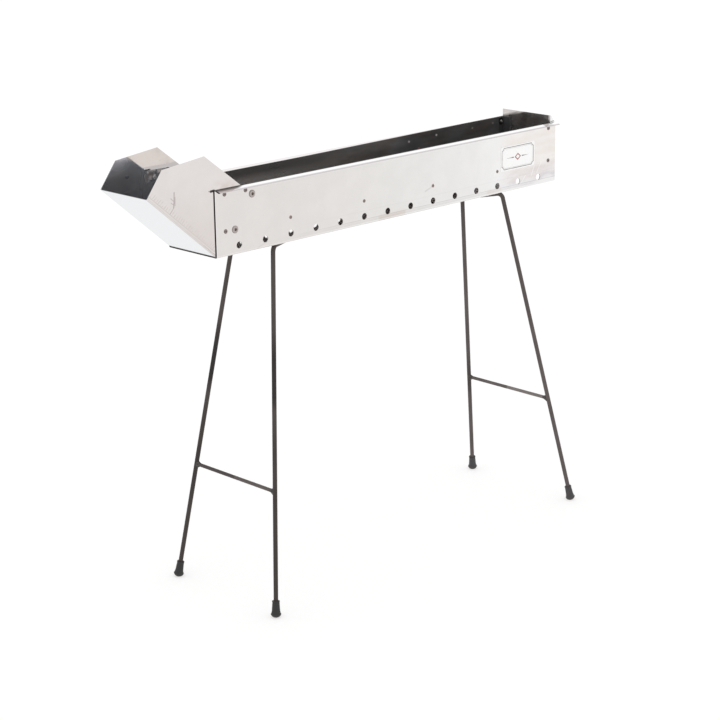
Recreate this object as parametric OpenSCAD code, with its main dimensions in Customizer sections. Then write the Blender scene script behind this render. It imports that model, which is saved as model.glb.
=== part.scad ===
// Long, narrow charcoal grill for thin meat skewers: a folded sheet trough on two folding rod frames.
// X runs along the trough with the scoop at -X, Y runs across it with the label side at -Y, and Z is up.
// The origin is on the ground, under the middle of the whole length.

/* [Trough] */
// Length of the trough
trough_l = 860; // [700:5:1100]
// Outer width of the trough
trough_w = 124; // [110:1:160]
// Height of the trough walls
trough_h = 115; // [105:1:140]
// Height of the rim above the ground
rim_z = 750; // [650:5:850]
// Thickness of the sheet that the trough, scoop, end plate and grate are folded from
sheet = 1.2; // [0.8:0.1:1.6]
// Inner radius of the folds in the sheet
fold_r = 1.2; // [0.8:0.1:2]
// How far the lip reaches out from the wall
lip_reach = 12; // [6:0.5:16]
// How far the lip's free edge drops below the rim
lip_drop = 3.5; // [1:0.5:5]

/* [Vents] */
// Diameter of the air holes along the foot of both walls
vent_d = 12; // [8:0.5:14]
// Distance from one air hole to the next
vent_pitch = 58.5; // [50:0.5:70]
// Height of the air holes' centres above the trough's underside
vent_z = 15; // [12:0.5:18]
// Least distance from an end of the trough to an air hole's centre
vent_margin = 45; // [36:1:60]
// One grate rivet sits above every vent of this count, from the label towards the scoop
vents_per_rivet = 3; // [2:1:4]

/* [Scoop] */
// Length of the sloping ramp, measured along its slope
ramp_l = 183.6; // [150:0.1:210]
// Slope of the ramp above level, in degrees
ramp_angle = 40.5; // [35:0.5:45]
// Length of the cheeks' front edge at the mouth
mouth_l = 55; // [40:1:65]
// How far the front edge leans back from square to the ramp, in degrees
mouth_lean = 3.2; // [0:0.1:6]
// Length of the cheeks' upper edge
crest_l = 88.6; // [80:0.2:100]
// Slope of the cheeks' upper edge, in degrees
crest_rise = 6.3; // [0:0.1:10]
// Slope of the cheeks' rear edge down to the rim, in degrees
back_angle = 37.8; // [34:0.1:42]
// Length of the tongue that lies on the trough's floor
tongue_l = 50; // [30:1:80]

/* [End plate] */
// Distance from the trough's end to the end plate
end_inset = 14.5; // [10:0.5:22]
// How far the end plate rises above the rim
end_rise = 14; // [8:0.5:20]
// Height of the draught gap below the end plate
draught_gap = 24; // [18:1:30]
// Width of the end plate's riveted side flanges
end_flange_w = 12; // [10:0.5:16]

/* [Charcoal grate] */
// Height of the grate's top face above the trough's underside
grate_z = 50; // [48:0.5:54]
// Length of each slot in the grate
slot_l = 30; // [16:1:34]
// Width of each slot in the grate
slot_w = 6; // [4:0.5:8]
// Distance between slots along the grate
slot_pitch = 42; // [38:1:60]
// Distance between the rows of slots
slot_row_pitch = 19; // [14:0.5:22]

/* [Label plate] */
// Length of the bare label plate
label_l = 96; // [60:1:110]
// Height of the bare label plate
label_h = 47; // [30:1:50]
// Thickness of the label plate
label_t = 0.6; // [0.4:0.1:1]
// Distance from the trough's end to the label's near edge
label_inset = 61.5; // [52:0.5:70]
// Height of the label's middle above the trough's underside
label_z = 63.5; // [58:0.5:68]
// Least gap between the label and the nearest grate rivet
label_gap = 5; // [3:0.5:6]
// Radius of the label's corners
label_corner_r = 3; // [1:0.5:6]

/* [Rivets] */
// Height of the lower rivets above the trough's underside
rivet_low_z = 42.7; // [40:0.1:44]
// Depth of the upper rivets below the rim
rivet_drop = 9.7; // [8.5:0.1:12]
// Distance from the trough's end to the first scoop rivets
rivet_end_x = 21; // [16:0.5:24]
// Distance from the trough's end to the second small scoop rivet
rivet_mid_x = 67; // [64:0.5:68]
// Distance from the trough's end to the lower large rivet
big_low_x = 41.5; // [39:0.5:44]
// Distance from the trough's end to the upper large rivet
big_high_x = 81; // [80:0.5:84]
// Depth of the upper large rivet below the rim
big_drop = 18; // [17:0.5:20]
// Head diameter of the large rivets
big_head_d = 13; // [11:0.5:14]
// Shank diameter of the large rivets
big_shank_d = 6.4; // [5:0.2:7]
// Head diameter of the small rivets on the scoop, end plate and clips
small_head_d = 7.6; // [6.5:0.1:8]
// Shank diameter of the small rivets
small_shank_d = 4; // [3:0.2:4.4]
// Head diameter of the grate rivets
grate_head_d = 6.2; // [5:0.1:7]
// Shank diameter of the grate rivets
grate_shank_d = 3.2; // [2.4:0.1:3.6]

/* [Legs] */
// Diameter of the leg rods
rod_d = 8; // [6:0.5:10]
// Diameter of the braces between the legs
brace_d = 6.5; // [5:0.5:8]
// Height of the braces above the ground
brace_z = 216; // [150:1:300]
// Radius of the rods' bends, at their centre line
rod_bend_r = 12; // [9:0.5:16]
// Distance from the trough's left end to the left legs' tops
left_top_in = 134; // [120:1:150]
// Distance from the trough's left end to the left feet
left_foot_in = 45.4; // [30:0.2:70]
// Distance from the trough's right end to the right legs' tops
right_top_in = 142; // [130:1:160]
// Distance from the trough's right end to the right feet
right_foot_in = 19.7; // [16:0.1:60]
// Distance of the legs' tops from the middle plane
leg_top_y = 51.4; // [46:0.2:56]
// Distance of the feet from the middle plane
foot_y = 132.8; // [110:0.2:150]

/* [Hinges] */
// Distance from the legs' tops inward to the hinge axis
hinge_in = 50.6; // [44:0.2:60]
// Distance from the middle plane to the bend where a prong turns into the hinge axis
prong_y = 30; // [28:0.5:34]
// Distance from the middle plane to each hinge clip's middle
clip_y = 15; // [12:0.5:16]
// Width of each hinge clip
clip_w = 12; // [10:0.5:13]
// Thickness of the hinge clips' strap
clip_t = 1.5; // [1:0.1:2]
// Length of each clip foot, measured from the strap's side
clip_foot_l = 11.5; // [10:0.5:14]
// Running gap between the rods and what they turn in or lie under
hinge_gap = 0.35; // [0.3:0.05:0.5]

/* [Rubber feet] */
// Length of a foot along its leg
foot_l = 29.5; // [24:0.5:36]
// Radius of a foot's flared base
foot_base_r = 9.2; // [8:0.1:11]
// Thickness of the rubber round the rod
foot_wall = 2.4; // [1.6:0.1:3]
// Thickness of the rubber under the rod's end
foot_sole = 7; // [5:0.5:10]

/* [Hidden] */
$fn = 48;

STAINLESS = [0.88, 0.87, 0.86];
SOOTED = [0.24, 0.23, 0.23];
RIVET_GREY = [0.6, 0.58, 0.56];
ROD_BROWN = [0.32, 0.29, 0.28];
RUBBER = [0.2, 0.2, 0.2];
LABEL_WHITE = [0.95, 0.95, 0.94];

// Overlap that lets a cut run past the faces it opens
cut = 1;
// Play left round a rivet's shank in its hole, and round a rod in its rubber foot
shank_play = 0.05;
// Blind rivet: the dome and its rim as shares of the head's diameter, the crown as a share of its radius
dome_share = 0.14;
rim_share = 0.05;
crown_share = 0.55;
// Blind rivet: the broken stem and the bulb as shares of the shank's diameter
stem_share = 0.28;
bulb_r_share = 0.72;
bulb_l_share = 0.75;
// Blind rivet: the stem's dimple as a share of the dome's height, and the bulb's taper towards its end
dimple_share = 0.8;
taper_share = 0.6;
// Sides of the trough: the front is at -Y
FRONT = -1;
REAR = 1;

// Rubber foot: the ridge round its base, the round it stands on, the flare, the neck and the rolled top edge
foot_ridge_h = 5;
foot_ridge_t = 1;
foot_dome_r = foot_base_r + 1;
foot_flare_h = 5;
foot_neck_h = 11;
foot_roll = 0.4;
foot_roll_h = 1.5;

// The trough's own frame has its origin under the left end, in the middle of the width, on its underside.
base_z = rim_z - trough_h;
mid_x = (trough_l - ramp_l * cos(ramp_angle)) / 2;
inner_y = trough_w / 2 - sheet;
fold_outer_r = fold_r + sheet;
lip_slope = atan(lip_drop / lip_reach);
lip_l = norm([lip_reach, lip_drop]);

vent_n = floor((trough_l - 2 * vent_margin) / vent_pitch) + 1;
function vent_x(i) = trough_l / 2 + (i - (vent_n - 1) / 2) * vent_pitch;

// Corners of a scoop cheek, as [x, z] in the trough's frame
ramp_heel = [0, sheet];
ramp_tip = ramp_heel + ramp_l * [-cos(ramp_angle), sin(ramp_angle)];
ramp_normal = [sin(ramp_angle), cos(ramp_angle)];
mouth_angle = 90 - ramp_angle + mouth_lean;
mouth_top = ramp_tip + mouth_l * [cos(mouth_angle), sin(mouth_angle)];
crest_end = mouth_top + crest_l * [cos(crest_rise), sin(crest_rise)];
tab_drop = 4;
tab_top_z = trough_h - tab_drop;
tab_start_x = crest_end[0] + (crest_end[1] - tab_top_z) / tan(back_angle);
// Metal left round the large rivets' centres
tab_margin = 12;
// Clearance of the tab over the tongue, and its folded edge, on the trough's floor
tab_floor_gap = 3;
tab_end_x = big_high_x + tab_margin;
tab_low_x = big_low_x + tab_margin;
tab_low_z = 2 * sheet + tab_floor_gap;
tab_corner_z = trough_h - big_drop - tab_margin;
tab_heel_z = rivet_low_z - tab_margin;
// The tab's foot ends short of the first vent, and leaves this gap round it
tab_vent_gap = 3;
tab_foot_x = min(tab_low_x, vent_x(0) - vent_d / 2 - tab_vent_gap);
tab_foot_z = vent_z + vent_d / 2 + tab_vent_gap;

upper_rivet_z = trough_h - rivet_drop;
big_high_z = trough_h - big_drop;
end_plate_x = trough_l - end_inset;
end_rivet_x = end_plate_x - end_flange_w / 2;
// The side flanges stop short of the rim, and the ears start just above it
flange_drop = 3;
ear_gap = 1;
small_rivet_spots = [[rivet_end_x, rivet_low_z], [rivet_end_x, upper_rivet_z], [rivet_mid_x, upper_rivet_z]];
big_rivet_spots = [[big_low_x, rivet_low_z], [big_high_x, big_high_z]];
end_rivet_spots = [[end_rivet_x, rivet_low_z], [end_rivet_x, upper_rivet_z]];

// Space between the grate's ends and the sheet work beside them
grate_gap = 3;
grate_start_x = tab_end_x + grate_gap;
grate_end_x = end_plate_x - end_flange_w - grate_gap;
grate_l = grate_end_x - grate_start_x;
label_low_x = trough_l - label_inset - label_l;
last_rivet_x = label_low_x - label_gap - grate_head_d / 2;
last_vent = max([for (i = [0 : vent_n - 1]) if (vent_x(i) <= last_rivet_x) i]);
grate_rivet_spots = [
    for (i = [last_vent : -vents_per_rivet : 0])
        if (vent_x(i) > grate_start_x + grate_head_d) [vent_x(i), rivet_low_z]
];
grate_flange_h = 2 * (grate_z - rivet_low_z);
// Least width of metal round the field of slots
slot_edge = 8;
slot_n = floor((grate_l - 2 * slot_edge - slot_l) / slot_pitch) + 1;
slot_rows = floor((2 * inner_y - 2 * slot_edge - 2 * fold_outer_r - slot_w) / slot_row_pitch) + 1;

// The rods hang just under the trough's floor.
rod_r = rod_d / 2;
rod_axis_z = -rod_r - hinge_gap;
clip_bore_r = rod_r + hinge_gap;
clip_outer_r = clip_bore_r + clip_t;
clip_rivet_x = clip_outer_r + clip_foot_l / 2;
// Weld beads at the braces' ends: how far they reach into the leg, out along the brace, and sideways
weld_sink = 2.5;
weld_reach = 5;
weld_spread = 2.5;
// A cold bend is a touch thicker than the straight rod, and the straights reach a little way into it
bend_swell = 0.05;
bend_seat = 0.5;

LEFT = 0;
RIGHT = 1;
function top_in(end) = end == LEFT ? left_top_in : right_top_in;
function foot_in(end) = end == LEFT ? left_foot_in : right_foot_in;
function hinge_x(end) = top_in(end) + hinge_in;
function leg_top(end, side) = [top_in(end), side * leg_top_y, rod_axis_z];
function ground_spot(end, side) = [foot_in(end), side * foot_y, -base_z];
function prong_end(end, side) = [hinge_x(end), side * prong_y, rod_axis_z];
function unit(v) = v / norm(v);
function leg_dir(end, side) = unit(leg_top(end, side) - ground_spot(end, side));
function on_leg(end, side, height) =
    ground_spot(end, side) + leg_dir(end, side) * height / leg_dir(end, side)[2];

// Moves the trough's own frame to the part's frame
module in_place() {
    translate([-mid_x, 0, base_z]) children();
}

// Draws a leg frame from its own end of the trough, turned round for the right-hand end
module at_end(end) {
    if (end == LEFT) children();
    if (end == RIGHT) translate([trough_l, 0, 0]) mirror([1, 0, 0]) children();
}

// Turns local Z, the direction of a straight bar, from one point to another
module bar(from, to, d) {
    run = to - from;
    translate(from)
        rotate([0, acos(run[2] / norm(run)), atan2(run[1], run[0])])
            cylinder(h = norm(run), d = d);
}

// Blind rivet on the outer face z = 0: domed flange outside, shank through the sheets, bulb behind them
module rivet(head_d, shank_d, grip) {
    head_r = head_d / 2;
    shank_r = shank_d / 2 - shank_play;
    head_h = head_d * dome_share;
    rim_h = head_d * rim_share;
    crown_r = head_r * crown_share;
    stem_r = shank_d * stem_share;
    dimple_h = head_h * dimple_share;
    bulb_r = shank_d * bulb_r_share;
    bulb_l = shank_d * bulb_l_share;
    rotate_extrude()
        polygon([
            [0, -grip - bulb_l],
            [bulb_r * taper_share, -grip - bulb_l],
            [bulb_r, -grip - bulb_l * taper_share],
            [bulb_r, -grip],
            [shank_r, -grip],
            [shank_r, 0],
            [head_r, 0],
            [head_r, rim_h],
            [crown_r, head_h],
            [stem_r, head_h],
            [stem_r, head_h - dimple_h],
            [0, head_h - dimple_h]
        ]);
}

// Rivets through both walls at [x, z] spots
module wall_rivets(spots, head_d, shank_d) {
    for (side = [FRONT, REAR]) {
        for (spot = spots) {
            translate([spot[0], side * trough_w / 2, spot[1]])
                rotate([-side * 90, 0, 0])
                    rivet(head_d, shank_d, 2 * sheet);
        }
    }
}

// Holes for those rivets, from one wall right through to the other
module wall_rivet_holes(spots, shank_d) {
    for (spot = spots) {
        translate([spot[0], 0, spot[1]])
            rotate([90, 0, 0])
                cylinder(h = trough_w + 2 * cut, d = shank_d, center = true);
    }
}

// Cross-section of a sheet folded up along both edges, as [y, height above its underside]
module channel_section(half_w, side_h) {
    flat_y = half_w - fold_outer_r;
    translate([-flat_y, 0]) square([2 * flat_y, sheet]);
    for (turn = [0, 1]) {
        mirror([turn, 0]) {
            translate([flat_y, fold_outer_r])
                intersection() {
                    difference() {
                        circle(fold_outer_r);
                        circle(fold_r);
                    }
                    translate([0, -fold_outer_r]) square(fold_outer_r);
                }
            translate([half_w - sheet, fold_outer_r]) square([sheet, side_h - fold_outer_r]);
        }
    }
}

// Cross-section of the folded trough, with its outward sloping lips
module trough_section() {
    channel_section(trough_w / 2, trough_h - sheet / 2);
    for (turn = [0, 1]) {
        mirror([turn, 0])
            translate([inner_y + sheet / 2, trough_h - sheet / 2]) {
                circle(sheet / 2);
                rotate(-lip_slope) translate([0, -sheet / 2]) square([lip_l - sheet / 2, sheet]);
            }
    }
}

module trough_shell() {
    color(STAINLESS)
        in_place()
            difference() {
                rotate([90, 0, 90]) linear_extrude(trough_l) trough_section();
                for (i = [0 : vent_n - 1]) {
                    translate([vent_x(i), 0, vent_z])
                        rotate([90, 0, 0])
                            cylinder(h = trough_w + 2 * cut, d = vent_d, center = true);
                }
                wall_rivet_holes(small_rivet_spots, small_shank_d);
                wall_rivet_holes(big_rivet_spots, big_shank_d);
                wall_rivet_holes(grate_rivet_spots, grate_shank_d);
                wall_rivet_holes(end_rivet_spots, small_shank_d);
                for (end = [LEFT, RIGHT]) clip_rivet_holes(end);
            }
}

// Outline of a scoop cheek, as [x, z], above the fold along the ramp's edge
module cheek_outline() {
    fold_tip = ramp_tip + fold_outer_r * ramp_normal;
    fold_heel = ramp_heel + fold_outer_r * ramp_normal;
    polygon([
        fold_heel,
        fold_tip,
        mouth_top,
        crest_end,
        [tab_start_x, tab_top_z],
        [tab_end_x, tab_top_z],
        [tab_end_x, tab_corner_z],
        [tab_low_x, tab_heel_z],
        [tab_foot_x, tab_foot_z],
        [tab_foot_x, tab_low_z],
        [fold_heel[0], tab_low_z]
    ]);
}

module scoop() {
    tongue_y = inner_y - fold_outer_r - sheet;
    color(STAINLESS)
        in_place() {
            difference() {
                union() {
                    translate([ramp_heel[0], 0, ramp_heel[1]])
                        rotate([0, ramp_angle - 90, 0])
                            rotate([0, 0, -90])
                                linear_extrude(ramp_l) channel_section(inner_y, fold_outer_r + sheet);
                    for (y = [-inner_y + sheet, inner_y]) {
                        translate([0, y, 0]) rotate([90, 0, 0]) linear_extrude(sheet) cheek_outline();
                    }
                }
                wall_rivet_holes(small_rivet_spots, small_shank_d);
                wall_rivet_holes(big_rivet_spots, big_shank_d);
            }
            translate([0, -tongue_y, sheet]) cube([tongue_l, 2 * tongue_y, sheet]);
        }
}

// Chamfered ear of the end plate above the rim, as [x, z]
module ear_outline() {
    ear_base_z = trough_h + ear_gap;
    polygon([
        [end_plate_x, ear_base_z],
        [trough_l - 2 * sheet, ear_base_z],
        [end_plate_x + 2 * sheet, trough_h + end_rise],
        [end_plate_x, trough_h + end_rise]
    ]);
}

module end_plate() {
    flange_top_z = trough_h - flange_drop;
    color(STAINLESS)
        in_place()
            difference() {
                union() {
                    translate([end_plate_x, -inner_y, draught_gap])
                        cube([sheet, 2 * inner_y, trough_h + end_rise - draught_gap]);
                    for (y = [-inner_y, inner_y - sheet]) {
                        translate([end_plate_x - end_flange_w, y, draught_gap])
                            cube([end_flange_w, sheet, flange_top_z - draught_gap]);
                        translate([0, y + sheet, 0]) rotate([90, 0, 0]) linear_extrude(sheet) ear_outline();
                    }
                }
                wall_rivet_holes(end_rivet_spots, small_shank_d);
            }
}

// Slot with round ends, cut down through the grate
module slot() {
    half = (slot_l - slot_w) / 2;
    translate([-half, -slot_w / 2, -cut]) cube([2 * half, slot_w, sheet + 2 * cut]);
    for (x = [-half, half]) translate([x, 0, -cut]) cylinder(h = sheet + 2 * cut, d = slot_w);
}

// Flat deck with its side flanges folded down
module charcoal_grate() {
    grate_mid_x = (grate_start_x + grate_end_x) / 2;
    color(SOOTED)
        in_place()
            difference() {
                translate([grate_start_x, 0, grate_z])
                    rotate([90, 0, 90])
                        linear_extrude(grate_l) mirror([0, 1]) channel_section(inner_y, grate_flange_h);
                for (i = [0 : slot_n - 1], row = [0 : slot_rows - 1]) {
                    translate([
                        grate_mid_x + (i - (slot_n - 1) / 2) * slot_pitch,
                        (row - (slot_rows - 1) / 2) * slot_row_pitch,
                        grate_z - sheet
                    ]) slot();
                }
                wall_rivet_holes(grate_rivet_spots, grate_shank_d);
            }
}

module label_plate() {
    color(LABEL_WHITE)
        in_place()
            translate([label_low_x, FRONT * trough_w / 2, label_z - label_h / 2])
                rotate([90, 0, 0])
                    linear_extrude(label_t) {
                        translate([label_corner_r, 0]) square([label_l - 2 * label_corner_r, label_h]);
                        translate([0, label_corner_r]) square([label_l, label_h - 2 * label_corner_r]);
                        for (x = [label_corner_r, label_l - label_corner_r],
                                z = [label_corner_r, label_h - label_corner_r]) {
                            translate([x, z]) circle(label_corner_r);
                        }
                    }
}

module scoop_large_rivets() {
    color(RIVET_GREY) in_place() wall_rivets(big_rivet_spots, big_head_d, big_shank_d);
}

module scoop_small_rivets() {
    color(RIVET_GREY) in_place() wall_rivets(small_rivet_spots, small_head_d, small_shank_d);
}

module grate_rivets() {
    color(RIVET_GREY) in_place() wall_rivets(grate_rivet_spots, grate_head_d, grate_shank_d);
}

module end_plate_rivets() {
    color(RIVET_GREY) in_place() wall_rivets(end_rivet_spots, small_head_d, small_shank_d);
}

// Holes for the clip rivets, through a clip's feet and the trough's floor
module clip_rivet_holes(end) {
    at_end(end)
        for (side = [FRONT, REAR], x = [-clip_rivet_x, clip_rivet_x]) {
            translate([hinge_x(end) + x, side * clip_y, -clip_t - cut])
                cylinder(h = clip_t + sheet + 2 * cut, d = small_shank_d);
        }
}

module clip_rivets(end) {
    color(RIVET_GREY)
        in_place()
            at_end(end)
                for (side = [FRONT, REAR], x = [-clip_rivet_x, clip_rivet_x]) {
                    translate([hinge_x(end) + x, side * clip_y, -clip_t])
                        rotate([180, 0, 0])
                            rivet(small_head_d, small_shank_d, clip_t + sheet);
                }
}

// Strap clip under the floor, as [x, z] from the hinge axis: a round saddle with two flat feet
module clip_section() {
    reach = clip_outer_r + clip_foot_l;
    difference() {
        union() {
            circle(clip_outer_r);
            translate([-clip_outer_r, 0]) square([2 * clip_outer_r, -rod_axis_z]);
            translate([-reach, -rod_axis_z - clip_t]) square([2 * reach, clip_t]);
        }
        circle(clip_bore_r);
        translate([-clip_bore_r, 0]) square([2 * clip_bore_r, -rod_axis_z + cut]);
        translate([-reach, -rod_axis_z]) square([2 * reach, clip_outer_r]);
    }
}

module hinge_clip(end, side) {
    color(RIVET_GREY)
        in_place()
            difference() {
                at_end(end)
                    translate([hinge_x(end), side * clip_y + clip_w / 2, rod_axis_z])
                        rotate([90, 0, 0])
                            linear_extrude(clip_w) clip_section();
                clip_rivet_holes(end);
            }
}

// Angle between the two straights that meet at point i of a route, and the length each gives up to the bend
function corner_angle(route, i) = acos(unit(route[i - 1] - route[i]) * unit(route[i + 1] - route[i]));
function setback(route, i) = rod_bend_r / tan(corner_angle(route, i) / 2);

// Round bend at point i of a route, drawn about the bend's own axis
module bend(route, i, d) {
    back = unit(route[i - 1] - route[i]);
    ahead = unit(route[i + 1] - route[i]);
    corner = corner_angle(route, i);
    centre = route[i] + unit(back + ahead) * rod_bend_r / sin(corner / 2);
    out = unit(route[i] + setback(route, i) * back - centre);
    turn_axis = cross(out, -back);
    multmatrix([
        [out[0], -back[0], turn_axis[0], centre[0]],
        [out[1], -back[1], turn_axis[1], centre[1]],
        [out[2], -back[2], turn_axis[2], centre[2]],
        [0, 0, 0, 1]
    ])
        rotate_extrude(angle = 180 - corner)
            translate([rod_bend_r, 0]) circle(d = d + 2 * bend_swell);
}

// Rod along a route of points, straight between them and bent round at each inner one
module bent_rod(route, d) {
    last = len(route) - 1;
    for (i = [0 : last - 1]) {
        ahead = unit(route[i + 1] - route[i]);
        from = i == 0 ? 0 : setback(route, i) - bend_seat;
        to = i + 1 == last ? 0 : setback(route, i + 1) - bend_seat;
        bar(route[i] + from * ahead, route[i + 1] - to * ahead, d);
    }
    for (i = [1 : last - 1]) bend(route, i, d);
}

// One rod: up the leg, round the top bend, in along the prong, and round into its half of the hinge axis
module leg(end, side) {
    foot_end = ground_spot(end, side) + foot_sole * leg_dir(end, side);
    color(ROD_BROWN)
        in_place()
            at_end(end)
                bent_rod([
                    foot_end,
                    leg_top(end, side),
                    prong_end(end, side),
                    [hinge_x(end), 0, rod_axis_z]
                ], rod_d);
}

// Brace between two legs, flared by its welds and cut to seat on the round of each leg
module brace(end) {
    from = on_leg(end, FRONT, brace_z);
    to = on_leg(end, REAR, brace_z);
    inward = unit(to - from);
    color(ROD_BROWN)
        in_place()
            at_end(end)
                difference() {
                    union() {
                        bar(from, to, brace_d);
                        weld_bead(from + rod_r * inward, inward);
                        weld_bead(to - rod_r * inward, -inward);
                    }
                    for (side = [FRONT, REAR]) {
                        bar(ground_spot(end, side), leg_top(end, side), rod_d);
                    }
                    // Nothing of the brace passes beyond the legs' axes
                    for (side = [FRONT, REAR]) {
                        translate(on_leg(end, side, brace_z) + [-rod_d, side > 0 ? 0 : -rod_d, -rod_d])
                            cube([2 * rod_d, rod_d, 2 * rod_d]);
                    }
                }
}

// Bead of weld at a brace's end, wide on the leg and running out along the brace
module weld_bead(from, inward) {
    translate(from - inward * weld_sink)
        rotate([-90 * sign(inward[1]), 0, 0])
            cylinder(h = weld_sink + weld_reach, d1 = brace_d + 2 * weld_spread, d2 = brace_d);
}

// Profile of a rubber foot, as [radius, height along the leg above the ground spot]
module foot_profile() {
    top_r = rod_r + foot_wall;
    dome_centre_h = foot_ridge_h + sqrt(foot_dome_r * foot_dome_r - foot_base_r * foot_base_r);
    polygon([
        [0, foot_ridge_h],
        [foot_base_r, foot_ridge_h],
        [foot_base_r, foot_ridge_h + foot_ridge_t],
        [(foot_base_r + top_r) / 2, foot_ridge_h + foot_flare_h],
        [top_r + foot_roll, foot_ridge_h + foot_neck_h],
        [top_r, foot_l - 2 * foot_roll_h],
        [top_r + foot_roll, foot_l - foot_roll_h],
        [top_r, foot_l],
        [0, foot_l]
    ]);
    intersection() {
        translate([0, dome_centre_h]) circle(foot_dome_r);
        translate([0, dome_centre_h - foot_dome_r])
            square([foot_base_r, foot_ridge_h + foot_dome_r - dome_centre_h]);
    }
}

// Bell-shaped rubber foot, bored for the rod and flat where it stands on the ground
module rubber_foot(end, side) {
    spot = ground_spot(end, side);
    axis = leg_dir(end, side);
    color(RUBBER)
        in_place()
            at_end(end)
                difference() {
                    translate(spot)
                        rotate([0, acos(axis[2]), atan2(axis[1], axis[0])])
                            rotate_extrude() foot_profile();
                    bar(spot + foot_sole * axis, spot + (foot_l + cut) * axis, rod_d + 2 * shank_play);
                    translate([spot[0] - foot_l, spot[1] - foot_l, spot[2] - foot_l])
                        cube([2 * foot_l, 2 * foot_l, foot_l]);
                }
}

module left_front_clip() { hinge_clip(LEFT, FRONT); }
module left_rear_clip() { hinge_clip(LEFT, REAR); }
module right_front_clip() { hinge_clip(RIGHT, FRONT); }
module right_rear_clip() { hinge_clip(RIGHT, REAR); }
module left_clip_rivets() { clip_rivets(LEFT); }
module right_clip_rivets() { clip_rivets(RIGHT); }
module left_front_leg() { leg(LEFT, FRONT); }
module left_rear_leg() { leg(LEFT, REAR); }
module left_brace() { brace(LEFT); }
module left_front_foot() { rubber_foot(LEFT, FRONT); }
module left_rear_foot() { rubber_foot(LEFT, REAR); }
module right_front_leg() { leg(RIGHT, FRONT); }
module right_rear_leg() { leg(RIGHT, REAR); }
module right_brace() { brace(RIGHT); }
module right_front_foot() { rubber_foot(RIGHT, FRONT); }
module right_rear_foot() { rubber_foot(RIGHT, REAR); }

trough_shell();
scoop();
end_plate();
charcoal_grate();
label_plate();
scoop_large_rivets();
scoop_small_rivets();
grate_rivets();
end_plate_rivets();
left_front_clip();
left_rear_clip();
right_front_clip();
right_rear_clip();
left_clip_rivets();
right_clip_rivets();
left_front_leg();
left_rear_leg();
left_brace();
left_front_foot();
left_rear_foot();
right_front_leg();
right_rear_leg();
right_brace();
right_front_foot();
right_rear_foot();
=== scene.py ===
"""Looks for a long, narrow charcoal skewer grill.

Camera, studio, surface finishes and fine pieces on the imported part.
"""
import math

import bmesh
import bpy
from mathutils import Matrix, Vector, noise


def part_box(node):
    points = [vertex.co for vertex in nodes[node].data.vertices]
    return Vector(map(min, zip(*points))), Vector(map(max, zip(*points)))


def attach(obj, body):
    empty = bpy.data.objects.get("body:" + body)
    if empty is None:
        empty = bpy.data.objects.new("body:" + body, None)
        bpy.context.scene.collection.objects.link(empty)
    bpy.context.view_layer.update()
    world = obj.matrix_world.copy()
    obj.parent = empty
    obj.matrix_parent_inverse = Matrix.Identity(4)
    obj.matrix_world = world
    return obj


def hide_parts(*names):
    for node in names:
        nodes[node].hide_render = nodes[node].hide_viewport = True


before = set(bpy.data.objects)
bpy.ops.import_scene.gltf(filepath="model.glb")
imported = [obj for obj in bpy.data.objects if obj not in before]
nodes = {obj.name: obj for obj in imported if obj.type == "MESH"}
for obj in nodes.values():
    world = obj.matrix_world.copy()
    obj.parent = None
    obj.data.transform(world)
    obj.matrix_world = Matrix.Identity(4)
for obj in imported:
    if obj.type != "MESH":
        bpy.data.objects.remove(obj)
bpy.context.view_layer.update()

# ---- Places on the frame, in metres ----

MM = 0.001
trough_low, trough_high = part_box("trough_shell")
LEFT_END, RIGHT_END = trough_low.x, trough_high.x
UNDERSIDE, RIM = trough_low.z, trough_high.z
SHEET = 1.2 * MM
WALL_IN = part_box("scoop")[1].y
WALL_OUT = WALL_IN + SHEET
WALL_MID = WALL_IN + SHEET / 2
END_PLATE_X = RIGHT_END - 14.5 * MM
GRATE_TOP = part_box("charcoal_grate")[1].z
RAMP_SLOPE = math.radians(40.5)
LIP_SLOPE = math.atan2(3.5, 12)
LIP_OUT = trough_high.y - WALL_MID
FOLD_TAPER = 0.0085
ROD_R = 4.0 * MM
BRACE_R = 3.25 * MM


def along(mm):
    """X of a place that lies so many millimetres from the trough's left end."""
    return LEFT_END + mm * MM


def above(mm):
    """Z of a place that lies so many millimetres above the trough's underside."""
    return UNDERSIDE + mm * MM


# ---- Camera, at the photograph's viewing angle ----

CAMERA_AT = Vector((-2.4159, -2.5084, 1.4140))
VIEW_AZIMUTH = math.radians(-44.235)
VIEW_ELEVATION = math.radians(16.709)
VIEW_ROLL = math.radians(-0.818)
FOCAL_LENGTH = 99.262


def make_camera():
    level = math.cos(VIEW_ELEVATION)
    back = Vector((math.sin(VIEW_AZIMUTH) * level, -math.cos(VIEW_AZIMUTH) * level, math.sin(VIEW_ELEVATION)))
    flat_right = Vector((math.cos(VIEW_AZIMUTH), math.sin(VIEW_AZIMUTH), 0))
    flat_up = back.cross(flat_right)
    right = flat_right * math.cos(VIEW_ROLL) + flat_up * math.sin(VIEW_ROLL)
    up = back.cross(right)
    data = bpy.data.cameras.new("view")
    data.lens = FOCAL_LENGTH
    data.sensor_width = 36
    data.clip_end = 100
    camera = bpy.data.objects.new("view", data)
    camera.matrix_world = Matrix.Translation(CAMERA_AT) @ Matrix((right, up, back)).transposed().to_4x4()
    bpy.context.scene.collection.objects.link(camera)
    bpy.context.scene.camera = camera


# ---- Studio: plain pale floor and soft light ----

SKY = 1.05
FLOOR_COLOUR = (0.44, 0.47, 0.475)
FLOOR_GLOW = (0.56, 0.53, 0.525)
FLOOR_HALF = 30


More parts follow.
